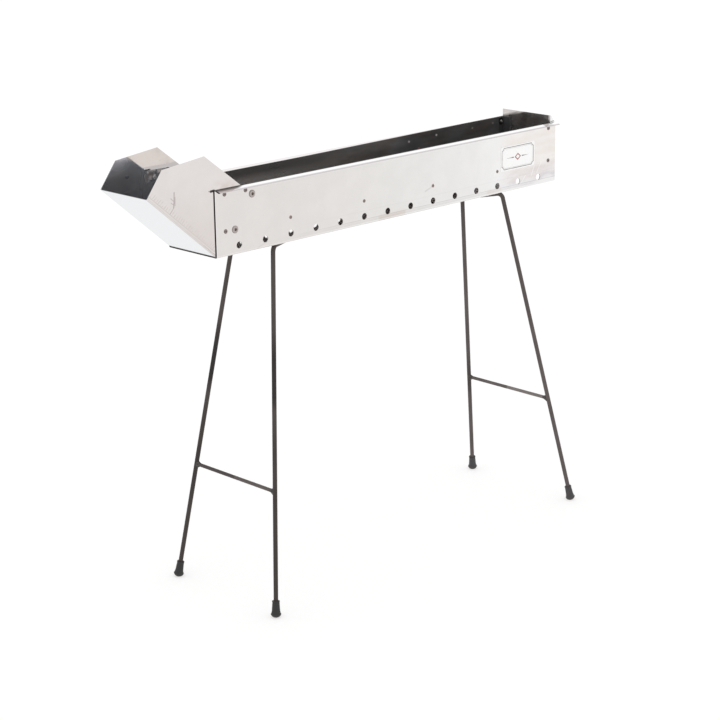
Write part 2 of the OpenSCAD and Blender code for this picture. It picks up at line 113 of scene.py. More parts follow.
class Paint:
    """One procedural material. Each method adds a node and returns the socket that comes out of it."""

    def __init__(self, name):
        self.material = bpy.data.materials.new(name)
        self.material.use_nodes = True
        self.tree = self.material.node_tree
        self.tree.nodes.clear()
        self.shader = self.tree.nodes.new("ShaderNodeBsdfPrincipled")
        surface = self.tree.nodes.new("ShaderNodeOutputMaterial")
        self.tree.links.new(self.shader.outputs["BSDF"], surface.inputs["Surface"])
        self.place = self.tree.nodes.new("ShaderNodeTexCoord").outputs["Object"]
        split = self.tree.nodes.new("ShaderNodeSeparateXYZ")
        self.put(split.inputs[0], self.place)
        self.x, self.y, self.z = split.outputs
        self.side = self.math("ABSOLUTE", self.y)
        self.front = self.math("LESS_THAN", self.y, 0)
        self.rear = self.math("GREATER_THAN", self.y, 0)

    def put(self, socket, value):
        """Links a socket, or sets a plain number or colour."""
        if isinstance(value, bpy.types.NodeSocket):
            self.tree.links.new(value, socket)
        elif socket.type == "RGBA" and len(value) == 3:
            socket.default_value = (*value, 1)
        else:
            socket.default_value = value

    def math(self, operation, *values):
        node = self.tree.nodes.new("ShaderNodeMath")
        node.operation = operation
        for socket, value in zip(node.inputs, values):
            self.put(socket, value)
        return node.outputs[0]

    def times(self, *values):
        total = values[0]
        for value in values[1:]:
            total = self.math("MULTIPLY", total, value)
        return total

    def most(self, *values):
        total = values[0]
        for value in values[1:]:
            total = self.math("MAXIMUM", total, value)
        return total

    def rise(self, value, low, high):
        """0 below low, 1 above high, and smooth between them. With high below low it falls instead."""
        node = self.tree.nodes.new("ShaderNodeMapRange")
        node.interpolation_type = "SMOOTHSTEP"
        for name, given in (("Value", value), ("From Min", low), ("From Max", high)):
            self.put(node.inputs[name], given)
        return node.outputs[0]

    def band(self, value, low, high, soft):
        """1 between low and high, fading out over soft on either side."""
        return self.times(self.rise(value, low - soft, low + soft), self.rise(value, high + soft, high - soft))

    def ramp(self, value, *stops):
        """Colour that runs through stops of (value, colour)."""
        low, high = stops[0][0], stops[-1][0]
        share = self.tree.nodes.new("ShaderNodeMapRange")
        for name, given in (("Value", value), ("From Min", low), ("From Max", high)):
            self.put(share.inputs[name], given)
        node = self.tree.nodes.new("ShaderNodeValToRGB")
        self.put(node.inputs[0], share.outputs[0])
        elements = node.color_ramp.elements
        elements[0].color = (*stops[0][1], 1)
        elements[1].color = (*stops[-1][1], 1)
        for place, colour in stops[1:-1]:
            elements.new((place - low) / (high - low)).color = (*colour, 1)
        return node.outputs[0]

    def noise(self, scale, stretch=(1, 1, 1), detail=3, roughness=0.5, shift=0, lean=0):
        """Noise with so many features to the metre, from about 0.25 to 0.75.

        Stretch makes it finer along an axis, and lean shears it so that upright features slope.
        """
        sheared = self.tree.nodes.new("ShaderNodeCombineXYZ")
        for socket, value in zip(sheared.inputs, (self.math("MULTIPLY_ADD", self.z, lean, self.x), self.y, self.z)):
            self.put(socket, value)
        mapping = self.tree.nodes.new("ShaderNodeMapping")
        self.put(mapping.inputs["Vector"], sheared.outputs[0] if lean else self.place)
        mapping.inputs["Scale"].default_value = stretch
        mapping.inputs["Location"].default_value = (shift, shift, shift)
        node = self.tree.nodes.new("ShaderNodeTexNoise")
        self.put(node.inputs["Vector"], mapping.outputs[0])
        for name, given in (("Scale", scale), ("Detail", detail), ("Roughness", roughness)):
            self.put(node.inputs[name], given)
        return node.outputs[0]

    def patches(self, low, high, scale, **options):
        """Noise turned into patches, from 0 at the level low to 1 at the level high."""
        return self.rise(self.noise(scale, **options), low, high)

    def mix(self, share, a, b):
        """Colour a where share is 0, colour b where it is 1."""
        node = self.tree.nodes.new("ShaderNodeMix")
        node.data_type = "RGBA"
        for index, value in ((0, share), (6, a), (7, b)):
            self.put(node.inputs[index], value)
        return node.outputs[2]

    def mark(self, colour, mask, share, ink):
        """The colour, with a mark of so much ink laid over it where the mask is 1."""
        return self.mix(self.times(mask, share), colour, ink)

    def tint(self, colour, filter_colour):
        """The colour, multiplied by another colour or by a number."""
        node = self.tree.nodes.new("ShaderNodeVectorMath")
        node.operation = "MULTIPLY"
        self.put(node.inputs[0], colour)
        self.put(node.inputs[1], filter_colour)
        return node.outputs[0]

    def fade(self, share, a, b):
        """Number a where share is 0, number b where it is 1."""
        node = self.tree.nodes.new("ShaderNodeMix")
        for index, value in ((0, share), (2, a), (3, b)):
            self.put(node.inputs[index], value)
        return node.outputs[0]

    def stroke(self, start, end, width, soft):
        """Mask of a straight mark on a wall, between two [x, z] places in millimetres."""
        x0, z0, x1, z1 = along(start[0]), above(start[1]), along(end[0]), above(end[1])
        length = math.hypot(x1 - x0, z1 - z0)
        ux, uz = (x1 - x0) / length, (z1 - z0) / length
        dx, dz = self.math("SUBTRACT", self.x, x0), self.math("SUBTRACT", self.z, z0)
        run = self.math("ADD", self.times(dx, ux), self.times(dz, uz))
        off = self.math("SUBTRACT", self.times(dz, ux), self.times(dx, uz))
        half = width * MM / 2
        return self.times(self.band(run, 0, length, soft * MM), self.band(off, -half, half, soft * MM))

    def bump(self, height, distance):
        """Normal of a surface that noise or masks raise by up to a distance in metres."""
        node = self.tree.nodes.new("ShaderNodeBump")
        node.inputs["Distance"].default_value = distance
        self.put(node.inputs["Height"], height)
        return node.outputs[0]

    def lean(self, normal, tilt, share):
        """The normal, leaned over by a tilt where share is 1."""
        socket = normal
        for operation, index, value in (("SCALE", 3, share), ("ADD", 1, normal), ("NORMALIZE", 1, tilt)):
            node = self.tree.nodes.new("ShaderNodeVectorMath")
            node.operation = operation
            self.put(node.inputs[0], tilt if operation == "SCALE" else socket)
            if operation != "NORMALIZE":
                self.put(node.inputs[index], value)
            socket = node.outputs[0]
        return socket

    def finish(self, **inputs):
        """Sets the shader's inputs, named with underscores for spaces, and returns the material."""
        for name, value in inputs.items():
            self.put(self.shader.inputs[name.replace("_", " ")], value)
        return self.material


def make_studio():
    scene = bpy.context.scene
    scene.view_settings.view_transform = "Standard"
    world = bpy.data.worlds.new("studio")
    scene.world = world
    world.use_nodes = True
    background = world.node_tree.nodes["Background"]
    background.inputs["Color"].default_value = (1.0, 0.995, 0.99, 1)
    background.inputs["Strength"].default_value = SKY

    mesh = bpy.data.meshes.new("floor")
    corners = [(x * FLOOR_HALF, y * FLOOR_HALF, 0) for x, y in ((-1, -1), (1, -1), (1, 1), (-1, 1))]
    mesh.from_pydata(corners, [], [(0, 1, 2, 3)])
    floor = bpy.data.objects.new("floor", mesh)
    scene.collection.objects.link(floor)
    mesh.materials.append(Paint("floor").finish(Base_Color=FLOOR_COLOUR, Emission_Color=FLOOR_GLOW,
                                                Emission_Strength=1.0, Roughness=0.9, Specular_IOR_Level=0.1))


# ---- Finishes ----

STEEL_BY_SCOOP = (0.735, 0.705, 0.685)
STEEL_MIDDLE = (0.772, 0.757, 0.742)
STEEL_LATE = (0.811, 0.803, 0.795)
STEEL_BY_LABEL = (0.866, 0.866, 0.866)
# Steel of the ramp's underside, with a bluish tint that is a painted reflection of the floor
RAMP_STEEL_BLUE_REFLECTION = (0.78, 0.797, 0.812)
LIP_STEEL = (0.97, 0.97, 0.97)
LIP_EDGE = (0.66, 0.625, 0.64)
LIP_CUT = (0.58, 0.55, 0.563)
CLEAN_STEEL = (0.97, 0.965, 0.96)
ASH = (0.42, 0.365, 0.35)
PALE_ASH = (0.85, 0.77, 0.75)
BARE_STEEL = (0.68, 0.645, 0.62)
SOOT = (0.028, 0.025, 0.0245)
SOOT_BROWN = (0.062, 0.046, 0.038)
SOOT_SLATE = (0.05, 0.053, 0.059)
SEAM_DARK = (0.018, 0.015, 0.014)
# Dark grey of the painted shade in the press lines' creases, and of a nick
CREASE_SHADE_AND_NICK = (0.36, 0.32, 0.31)
# Near white of bright scratches, and of painted highlights
SCRATCH_AND_HIGHLIGHT = (0.95, 0.95, 0.95)
HEAT_STRAW = (0.96, 0.905, 0.865)
HEAT_ROSE = (0.86, 0.80, 0.79)
HEAT_BLUE = (0.80, 0.775, 0.795)


def outer_steel(paint):
    """Colour of the bright outer faces, from a warm grey at the scoop to near white at the far end."""
    colour = paint.ramp(paint.x, (along(150), STEEL_BY_SCOOP), (along(440), STEEL_MIDDLE),
                        (along(630), STEEL_LATE), (along(715), STEEL_BY_LABEL))
    mottle = paint.patches(0.35, 0.7, 28, detail=5, roughness=0.6)
    grain = paint.patches(0.3, 0.7, 900, detail=2)
    return paint.tint(colour, paint.times(paint.fade(mottle, 0.985, 1.015), paint.fade(grain, 0.99, 1.01)))


def sooted(paint, amount):
    """Colour of inner faces under so much soot, brown in some places and slate in others."""
    brown = paint.patches(0.5, 0.68, 9, stretch=(1, 1, 3), shift=3)
    slate = paint.patches(0.5, 0.66, 11, stretch=(1, 1, 2), shift=8)
    soot = paint.mix(brown, SOOT, SOOT_BROWN)
    soot = paint.mix(slate, soot, SOOT_SLATE)
    return paint.mix(amount, BARE_STEEL, soot)


def sheet_bump(paint, spring=(0, 0, 0)):
    """Faint waves of thin sheet, the fine grain of its rolling, and its slopes along X, Y and Z where it has sprung."""
    waves = paint.noise(7, detail=1)
    grain = paint.noise(700, stretch=(0.25, 1, 1), detail=2)
    height = paint.math("MULTIPLY_ADD", grain, 0.006, waves)
    reach = 0.5 * MM
    for axis, slope in zip((paint.x, paint.y, paint.z), spring):
        height = paint.math("MULTIPLY_ADD", axis, slope / reach, height)
    return paint.bump(height, reach)


def heat_tinted(paint, colour):
    """The outer steel with the straw, rose and blue that heat has left at the label's end."""
    streaks = paint.patches(0.36, 0.62, 16, stretch=(1, 1, 4), detail=4, shift=2)
    drift = paint.math("MULTIPLY_ADD", paint.noise(20, detail=3, shift=5), 0.03, paint.z)
    tints = paint.ramp(drift, (above(20), (0.96, 0.95, 0.95)), (above(28), HEAT_BLUE), (above(36), HEAT_ROSE),
                       (above(46), HEAT_ROSE), (above(62), HEAT_STRAW))
    reach = paint.times(paint.rise(paint.x, along(685), along(740)), paint.fade(streaks, 0.5, 1))
    return paint.tint(colour, paint.mix(reach, (1, 1, 1), tints))


def front_marks(paint, colour):
    """Marks of use on the front wall: a smear with two dots, scratches by the last air hole, and a nick."""
    colour = paint.mark(colour, paint.times(paint.front, paint.stroke((496, 35), (518, 42), 2.6, 1.6)), 0.4,
                        (0.50, 0.48, 0.46))
    for x, z in ((518.9, 45.8), (519.4, 40.1)):
        dot = paint.stroke((x - 1, z), (x + 1, z), 1.6, 0.7)
        colour = paint.mark(colour, paint.times(paint.front, dot), 0.5, (0.36, 0.28, 0.25))
    for start, end, width in (((790, 20), (800, 40), 1.4), ((806, 24), (820, 44), 1.0), ((760, 9), (774, 24), 1.2)):
        colour = paint.mark(colour, paint.times(paint.front, paint.stroke(start, end, width, 0.8)), 0.7, SCRATCH_AND_HIGHLIGHT)
    for start, end, share in ((378, 446, 0.3), (664, 704, 0.24)):
        stain = paint.times(paint.front, paint.stroke((start, 6), (end, 6), 9, 5))
        colour = paint.mark(colour, stain, share, (0.57, 0.42, 0.34))
    return paint.mark(colour, paint.times(paint.front, paint.stroke((88, 2), (107, 8.5), 0.6, 0.5)), 0.35, CREASE_SHADE_AND_NICK)


def trough_paint():
    paint = Paint("trough_steel")
    # Press lines along the bottom fold, and the bright line of the free end
    colour = front_marks(paint, heat_tinted(paint, outer_steel(paint)))
    pressed = paint.rise(paint.x, along(90), along(380))
    # The press lines are painted dark: painted shade in the creases of the sheet
    for low, high, soft, share in ((8.9, 10.1, 0.5, 0.31), (24.6, 25.4, 0.6, 0.1)):
        line = paint.times(paint.band(paint.z, above(low), above(high), soft * MM), pressed)
        colour = paint.mark(colour, line, share, CREASE_SHADE_AND_NICK)
    # A faint band of painted shadow below the lower press line
    foot = paint.times(paint.band(paint.z, above(4), above(8), MM), pressed, paint.rise(paint.x, along(800), along(740)))
    colour = paint.mark(colour, foot, 0.12, CREASE_SHADE_AND_NICK)
    # Painted highlights: a bright line along the bottom bend, and one just in from the left end
    colour = paint.mark(colour, paint.band(paint.z, above(2.4), above(3.2), 0.5 * MM), 0.4, SCRATCH_AND_HIGHLIGHT)
    colour = paint.mark(colour, paint.band(paint.x, along(0.8), along(1.6), 0.4 * MM), 0.6, SCRATCH_AND_HIGHLIGHT)

    # Lip: white on top, a grey cut edge, and a dark reflection beside the scoop
    out = paint.math("SUBTRACT", paint.side, WALL_MID)
    on_lip = paint.times(paint.rise(out, 0.1 * MM, 0.3 * MM), paint.rise(paint.z, RIM - 5 * MM, RIM - 4.8 * MM))
    fall = paint.math("MULTIPLY_ADD", out, math.tan(LIP_SLOPE), paint.z)
    top = paint.times(on_lip, paint.rise(fall, RIM - 0.4 * MM, RIM - 0.2 * MM))
    shade = paint.fade(paint.band(paint.x, along(821), along(845), 5 * MM), 1, 0.78)
    lip = paint.mix(paint.rise(out, LIP_OUT - 4.5 * MM, LIP_OUT - 1.5 * MM), LIP_STEEL, LIP_EDGE)
    colour = paint.mix(top, colour, paint.tint(lip, shade))
    reflection = paint.times(top, paint.rise(out, 9.5 * MM, 7.5 * MM),
                             paint.rise(paint.math("MULTIPLY_ADD", out, 2, paint.x), along(68), along(56)))
    colour = paint.mix(reflection, colour, paint.mix(paint.rise(out, 1.2 * MM, 8 * MM), (0.04, 0.037, 0.036),
                                                     (0.38, 0.36, 0.355)))
    edge = paint.times(on_lip, paint.rise(out, LIP_OUT - 0.75 * MM, LIP_OUT - 0.45 * MM))
    colour = paint.mix(edge, colour, LIP_CUT)

    # Inner faces: the floor is clean at both ends, and the rest is sooty. Soot runs over the front rim.
    inner = paint.times(paint.rise(out, 0.02 * MM, -0.02 * MM), paint.rise(paint.z, above(0.4), above(0.8)))
    beyond = paint.rise(paint.x, along(853), along(847))
    spread = paint.fade(paint.times(paint.rise(paint.x, along(838), along(842)), beyond), 1.9 * MM, 2.7 * MM)
    spread = paint.math("SUBTRACT", spread, paint.fade(beyond, 1.2 * MM, 0.0))
    over = paint.times(paint.rise(paint.z, RIM - 1.4 * MM, RIM - 1.1 * MM),
                       paint.rise(paint.math("SUBTRACT", out, spread), 0, -0.5 * MM))
    inside = paint.most(paint.times(paint.rear, inner, paint.rise(paint.z, RIM - 0.3 * MM, RIM - 1.8 * MM)),
                        paint.times(paint.front, paint.most(inner, over)))
    below = paint.rise(paint.z, GRATE_TOP + 2 * MM, GRATE_TOP - 6 * MM)
    on_floor = paint.rise(paint.z, above(3), above(2))
    fire = paint.rise(paint.x, along(800), along(745))
    floor_fire = paint.times(paint.rise(paint.x, along(335), along(350)), fire)
    streak = paint.patches(0.3, 0.7, 14, stretch=(1, 1, 4), detail=4)
    wall = paint.fade(paint.rise(paint.x, along(20), along(560)), 0.62, paint.fade(streak, 0.84, 0.92))
    wall = paint.most(wall, paint.times(paint.front, 0.97))
    late = paint.rise(paint.x, along(535), along(600))
    high = paint.fade(late, paint.fade(paint.rise(paint.x, along(200), along(520)), 0.66, 1.5), 0.9)
    low = paint.fade(late, paint.fade(paint.rise(paint.x, along(150), along(450)), 1.9, 1.3), 0.95)
    soot = paint.tint(sooted(paint, wall), paint.fade(paint.rise(paint.z, above(84), above(102)), low, high))
    burnt = paint.fade(on_floor, fire, floor_fire)
    pale = paint.times(paint.rise(paint.x, along(440), along(380)), paint.rise(paint.z, above(2), above(3)))
    dry = paint.times(on_floor, paint.band(paint.x, along(662), along(704), 10 * MM))
    ash = paint.mix(paint.most(pale, dry, paint.band(paint.x, along(550), along(585), 15 * MM)), ASH, PALE_ASH)
    soot = paint.mix(below, soot, paint.mix(burnt, CLEAN_STEEL, ash))
    amount = paint.fade(below, wall, burnt)
    specks = 0.0
    for x, z, share in ((582.1, 100.4, 1.0), (656.7, 103, 1.0), (757.9, 102.7, 0.4), (816.9, 104.7, 0.35)):
        specks = paint.most(paint.times(paint.stroke((x - 2, z), (x + 2, z - 1.2), 3.2, 1.2), share), specks)
    specks = paint.times(paint.rear, specks)
    soot = paint.mark(soot, specks, 0.95, (0.6, 0.57, 0.54))
    rust_spot = paint.times(paint.rear, paint.stroke((606, 84.5), (612, 83), 3, 1.2))
    soot = paint.mark(soot, rust_spot, 0.9, (0.3, 0.17, 0.15))
    dry = paint.most(dry, specks, rust_spot)
    # The rear rim's fold leans back and catches the sky, over a strip that narrows towards the free end
    depth = paint.math("SUBTRACT", paint.math("MULTIPLY_ADD", paint.x, -FOLD_TAPER, paint.z),
                       RIM - along(800) * FOLD_TAPER)
    fold = paint.times(paint.rear, inner, paint.rise(depth, -0.5 * MM, 0.5 * MM),
                       paint.rise(paint.z, RIM - 4.6 * MM, RIM - 3.8 * MM))
    colour = paint.mix(fold, paint.mix(inside, colour, soot), (0.86, 0.835, 0.845))
    metal = paint.fade(inside, 1, paint.fade(dry, paint.fade(amount, 1, 0.35), 0))
    metal = paint.most(metal, fold)
    rough = paint.fade(inside, paint.fade(paint.patches(0.35, 0.7, 30), 0.07, 0.12), paint.fade(amount, 0.05, 0.36))
    rough = paint.fade(fold, rough, 0.1)

    # The sheet's cut end by the scoop is dark, and so is the corner of the lip there: partly the dark cut edge, partly
    # painted shadow of the gap beside the scoop
    cut_edge_and_shadow = paint.most(paint.rise(paint.x, along(0.2), along(0.1)),
                     paint.times(paint.rise(out, 1.2 * MM, 2 * MM), paint.rise(paint.x, along(2.7), along(2.0))))
    colour = paint.mix(cut_edge_and_shadow, colour, SEAM_DARK)
    normal = paint.lean(sheet_bump(paint), (0.085, -0.052, 0), paint.times(on_floor, inner))
    return paint.finish(Base_Color=colour, Metallic=paint.fade(cut_edge_and_shadow, metal, 0), Roughness=paint.fade(cut_edge_and_shadow, rough, 0.6),
                        Normal=paint.lean(normal, (0, 0, 0.3), fold))


SCRATCH = (((-83.5, 125), (-84.4, 107), 2.6, 0.55), ((-84.4, 108), (-85.9, 98.6), 2.4, 0.6),
           ((-85.9, 99), (-93.8, 90.2), 1.3, 0.5), ((-91.4, 115.9), (-85.3, 110.3), 1.4, 0.5),
           ((-91, 108.3), (-85.6, 104.5), 1.4, 0.5), ((-82.5, 117), (-83, 102), 3.2, 0.3))


# Start, end, width, softness and tone of each reflection, in millimetres on the far cheek
REFLECTIONS = (((-42, 131.5), (-28, 129.5), 9, 2.5, 0.19), ((-20, 135), (-2, 133), 7, 3, 0.68),
               ((-46, 131), (-41.5, 118), 6, 2.5, 0.23), ((-35.5, 128.5), (-35.5, 122), 6, 2, 0.48),
               ((-40, 137), (-24, 136.6), 2.4, 2, 0.55),
               ((-41.6, 135.2), (-39, 135.2), 3.6, 1.7, 0.70), ((-29.8, 125.4), (-27.4, 125.4), 3.6, 1.7, 0.78))
# Start, end and width of each strip of sky that shows there
SKY_STRIPS = (((-48, 142.7), (30, 142.2), 3.2), ((-34, 140.7), (30, 139.9), 5), ((6, 139), (30, 138), 6))


def scoop_paint():
    paint = Paint("scoop_steel")
    # Height above the ramp's underside, square to the ramp
    lift = paint.math("ADD", paint.times(paint.math("SUBTRACT", paint.z, above(1.2)), math.cos(RAMP_SLOPE)),
                      paint.times(paint.math("SUBTRACT", paint.x, along(0)), math.sin(RAMP_SLOPE)))
    on_ramp = paint.rise(paint.side, WALL_IN - 1.6 * MM, WALL_IN - 2.2 * MM)
    under = paint.times(on_ramp, paint.rise(lift, 0.7 * MM, 0.5 * MM))
    within = paint.times(paint.rise(paint.side, WALL_IN - 0.58 * MM, WALL_IN - 0.62 * MM),
                         paint.rise(lift, 0.5 * MM, 0.7 * MM))
    low = paint.rise(paint.z, above(150), above(20))
    colour = paint.tint(outer_steel(paint), paint.mix(low, (1, 0.985, 0.995), (0.945, 0.92, 0.915)))
    # The ramp's underside: steel with a painted bluish reflection
    colour = paint.mix(under, colour, RAMP_STEEL_BLUE_REFLECTION)
    # Press lines along the lower bend, the ticks of the press above them, a scratch and brown smudges
    # The press lines are painted dark: painted shade in the creases of the bend
    for height, share in ((2.6, 0.2), (6.4, 0.42)):
        line = paint.band(lift, (height - 0.4) * MM, (height + 0.4) * MM, 0.5 * MM)
        colour = paint.mark(colour, line, share, (0.40, 0.35, 0.32))
    run = paint.math("SUBTRACT", paint.times(paint.x, math.cos(RAMP_SLOPE)), paint.times(paint.z, math.sin(RAMP_SLOPE)))
    phase = paint.times(paint.math("MULTIPLY_ADD", lift, -0.2, run), math.tau / (5.2 * MM))
    comb = paint.math("SINE", paint.math("MULTIPLY_ADD", paint.noise(60), 8, phase))
    ticks = paint.times(paint.rise(comb, 0.1, 0.95), paint.patches(0.32, 0.56, 150, stretch=(1, 0, 1), shift=1),
                        paint.rise(lift, 6 * MM, 8 * MM), paint.rise(lift, 19 * MM, 12 * MM))
    colour = paint.mark(colour, ticks, 0.28, (0.40, 0.34, 0.32))
    for start, end, width, share in SCRATCH:
        scratch = paint.times(paint.front, paint.stroke(start, end, width, 0.6))
        colour = paint.mark(colour, scratch, share, (0.33, 0.28, 0.27))
    smudge = paint.times(paint.stroke((2, 118), (62, 117), 14, 9), paint.patches(0.42, 0.62, 60, detail=4))
    colour = paint.mark(colour, smudge, 0.4, (0.56, 0.46, 0.40))

    # Inner faces: the cheeks stay mirror bright above, and the ramp is black with use
    dull = paint.patches(0.4, 0.7, 22, detail=4, shift=4)
    amount = paint.most(paint.fade(dull, 0.04, 0.14), paint.times(on_ramp, 0.93),
                        paint.times(paint.rise(paint.x, along(0), along(60)), 0.4))
    hue = paint.mix(paint.front, (1.04, 1.0, 0.98), (1.08, 1.10, 1.14))
    soot = paint.tint(sooted(paint, amount), paint.mix(on_ramp, hue, (1.0, 1.05, 1.10)))
    # Painted reflection on the far cheek: a bluish, less metallic film left of a slanting edge and below a level one,
    # thicker towards its corner, where the near cheek's reflection shows
    slant = paint.math("ADD", paint.times(paint.math("SUBTRACT", paint.x, along(-47.3)), -0.548),
                       paint.times(paint.math("SUBTRACT", paint.z, above(140.6)), -0.836))
    painted_reflection_film = paint.times(paint.rear, paint.most(paint.rise(slant, -2 * MM, 0),
                                              paint.rise(paint.z, above(140.6), above(138.6))))
    haze = paint.times(paint.rise(paint.z, above(129), above(173)), paint.rise(paint.x, along(-62), along(-98)))
    clear = paint.fade(haze, 0.995, 0.48)
    slate = paint.mix(haze, (0.96, 1.12, 1.30), (0.96, 1.04, 1.18))
    shaded = paint.times(paint.rise(paint.x, along(-80), along(-65)), paint.rise(paint.z, above(137), above(122)))
    slate = paint.tint(slate, paint.fade(shaded, 1, 0.98))
    soot = paint.tint(soot, paint.mix(painted_reflection_film, (1, 1, 1), slate))
    speck = paint.times(paint.rear, paint.stroke((-14.2, 151.3), (-13, 151.3), 1.2, 0.7))
    soot = paint.mark(soot, speck, 0.5, (0.2, 0.18, 0.17))
    # Reflections that only the far cheek shows, beside the lip's end
    glints = 0.0
    for start, end, width, soft, tone in REFLECTIONS:
        streak = paint.times(within, paint.rear, paint.stroke(start, end, width, soft))
        soot = paint.mix(streak, soot, (tone, tone * 0.9, tone * 0.89))
        glints = paint.most(streak, glints)
    sky = 0.0
    for start, end, width in SKY_STRIPS:
        sky = paint.most(paint.times(within, paint.rear, paint.stroke(start, end, width, 0.8)), sky)
    soot = paint.mix(sky, soot, (0.51, 0.485, 0.48))
    colour = paint.mix(within, colour, soot)
    metal = paint.fade(within, 1, paint.fade(paint.most(amount, glints), paint.fade(painted_reflection_film, 1, clear), 0.3))
    metal = paint.most(metal, sky)
    rough = paint.fade(within, 0.09, paint.fade(amount, 0.03, 0.55))

    # Dark seam beside the trough's cut end, and below the floor's front edge: soot in the joint, with painted shadow in
    # the gap between the parts
    seam_and_shadow = paint.times(paint.most(paint.rise(paint.x, along(-2.5), along(-1.8)),
                                  paint.times(under, paint.rise(paint.x, along(-3.9), along(-3.1)))),
                       paint.rise(paint.z, RIM + 0.6 * MM, RIM - 0.4 * MM))
    seam_and_shadow = paint.most(seam_and_shadow, paint.stroke((-8.5, 113.9), (1, 114.6), 4.0, 0.6))
    seam_and_shadow = paint.times(seam_and_shadow, paint.rise(within, 1, 0))
    colour = paint.mix(seam_and_shadow, colour, SEAM_DARK)
    return paint.finish(Base_Color=colour, Metallic=paint.fade(seam_and_shadow, metal, 0), Roughness=paint.fade(seam_and_shadow, rough, 0.6),
                        Normal=paint.lean(sheet_bump(paint, (-0.037, 0, -0.013)), (0, 0, 0.12), sky))


def end_plate_paint():
    paint = Paint("end_plate_steel")
    within = paint.times(paint.rise(paint.side, WALL_IN - 0.58 * MM, WALL_IN - 0.62 * MM),
                         paint.rise(paint.x, END_PLATE_X + 0.7 * MM, END_PLATE_X + 0.5 * MM))
    colour = outer_steel(paint)
    haze = paint.patches(0.4, 0.7, 25, stretch=(1, 1, 2.5), detail=4, shift=6)
    flange = paint.times(paint.rise(paint.side, WALL_IN - 1.5 * MM, WALL_IN - 1.3 * MM),
                         paint.rise(paint.x, END_PLATE_X - 0.3 * MM, END_PLATE_X - 0.5 * MM))
    corner = paint.times(paint.rear, 0.97, paint.rise(paint.z, above(118), above(113)))
    used = paint.most(paint.fade(haze, 0.03, 0.14), paint.times(flange, 0.97),
                      paint.times(paint.rise(paint.z, above(100), above(60)), 0.85))
    black = paint.most(used, paint.times(corner, paint.rise(paint.side, 30 * MM, 46 * MM)))
    amount = paint.most(used, paint.times(corner, paint.rise(paint.side, 34 * MM, 50 * MM)))
    colour = paint.mix(within, colour, sooted(paint, black))
    # The edge of the bright reflection is doubled towards the rear wall
    level = paint.math("SUBTRACT", paint.math("MULTIPLY_ADD", paint.y, 0.256, paint.z), above(117) + 0.256 * 50.6 * MM)
    double = paint.times(within, paint.rise(paint.y, 10 * MM, 30 * MM), paint.rise(level, -0.5 * MM, 0.5 * MM),
                         paint.rise(level, 5.0 * MM, 1.5 * MM))
    colour = paint.tint(colour, paint.fade(double, 1, 0.5))
    # Pale at the bend by the front wall, and dull beside it
    bend = paint.times(within, paint.front, paint.rise(paint.side, 53 * MM, 61.5 * MM),
                       paint.rise(paint.z, above(112), above(124)))
    colour = paint.mark(colour, bend, 0.95, (0.92, 0.86, 0.88))
    worn = paint.times(within, paint.rise(paint.y, 15 * MM, -20 * MM), paint.rise(paint.z, above(119), above(131)))
    worn = paint.most(paint.times(worn, 0.16), paint.times(within, paint.front, 0.04),
                      paint.times(within, paint.front, paint.rise(paint.side, 41 * MM, 48 * MM),
                                  paint.rise(paint.z, above(116), above(125)), 0.2))
    dark_foot = paint.times(paint.front, paint.rise(paint.x, END_PLATE_X + 0.8 * MM, END_PLATE_X + 1.2 * MM),
                            paint.rise(paint.z, above(118.4), above(117.4)))
    colour = paint.mark(colour, dark_foot, 0.92, (0.2, 0.19, 0.195))
    # Black halo round the rear rivet
    away = paint.math("SQRT", paint.math("ADD", paint.math("POWER", paint.math("SUBTRACT", paint.x, along(839.5)), 2),
                                         paint.math("POWER", paint.math("SUBTRACT", paint.z, above(105.3)), 2)))
    halo = paint.times(within, paint.rear, paint.rise(away, 9 * MM, 6 * MM), flange)
    colour = paint.mark(colour, halo, 0.95, (0.006, 0.005, 0.005))
    metal = paint.fade(within, 1, paint.fade(amount, 1, 0.3))
    metal = paint.times(metal, paint.rise(paint.most(bend, dark_foot), 1, 0), paint.math("SUBTRACT", 1, worn))
    rough = paint.fade(within, 0.1, paint.fade(amount, 0.06, 0.5))
    return paint.finish(Base_Color=colour, Metallic=metal, Roughness=rough, Normal=sheet_bump(paint))


def grate_paint():
    paint = Paint("grate_soot")
    ash = paint.patches(0.52, 0.72, 26, detail=6, roughness=0.65)
    rust = paint.patches(0.55, 0.7, 15, detail=5, shift=4)
    colour = paint.mix(paint.times(rust, 0.6), (0.026, 0.024, 0.023), (0.07, 0.038, 0.024))
    colour = paint.mark(colour, ash, 0.5, (0.13, 0.125, 0.12))
    crust = paint.noise(160, detail=5, roughness=0.7)
    return paint.finish(Base_Color=colour, Metallic=0.15, Roughness=paint.fade(ash, 0.62, 0.85),
                        Normal=paint.bump(crust, 0.25 * MM))


ROD_DARK = (0.033, 0.028, 0.028)
ROD_BROWN = (0.055, 0.046, 0.043)
ROD_WARM = (0.076, 0.064, 0.061)
ROD_PALE = (0.104, 0.087, 0.085)
BRACE_PALE = (0.19, 0.165, 0.16)


def rod_paint(name, *tones):
    """Dark drawn steel whose tone changes up the leg, by stops of (height, colour)."""
    paint = Paint(name)
    cloud = paint.patches(0.35, 0.68, 18, detail=4)
    drawn = paint.noise(320, stretch=(1, 1, 0.04), detail=2)
    wear = paint.patches(0.66, 0.74, 45, detail=5, roughness=0.7, shift=7)
    height = paint.math("MULTIPLY_ADD", paint.noise(30, shift=4), 0.04, paint.z)
    colour = paint.tint(paint.ramp(height, *tones), paint.fade(cloud, 0.92, 1.1))
    colour = paint.mark(colour, wear, 0.5, (0.10, 0.085, 0.078))
    colour = paint.mark(colour, paint.times(paint.rear, paint.band(height, 0.20, 0.27, 0.02)), 0.5, ROD_DARK)
    return paint.finish(Base_Color=colour, Metallic=0.1, Roughness=paint.fade(drawn, 0.36, 0.5),
                        Specular_IOR_Level=0.15, Normal=paint.bump(drawn, 0.05 * MM))


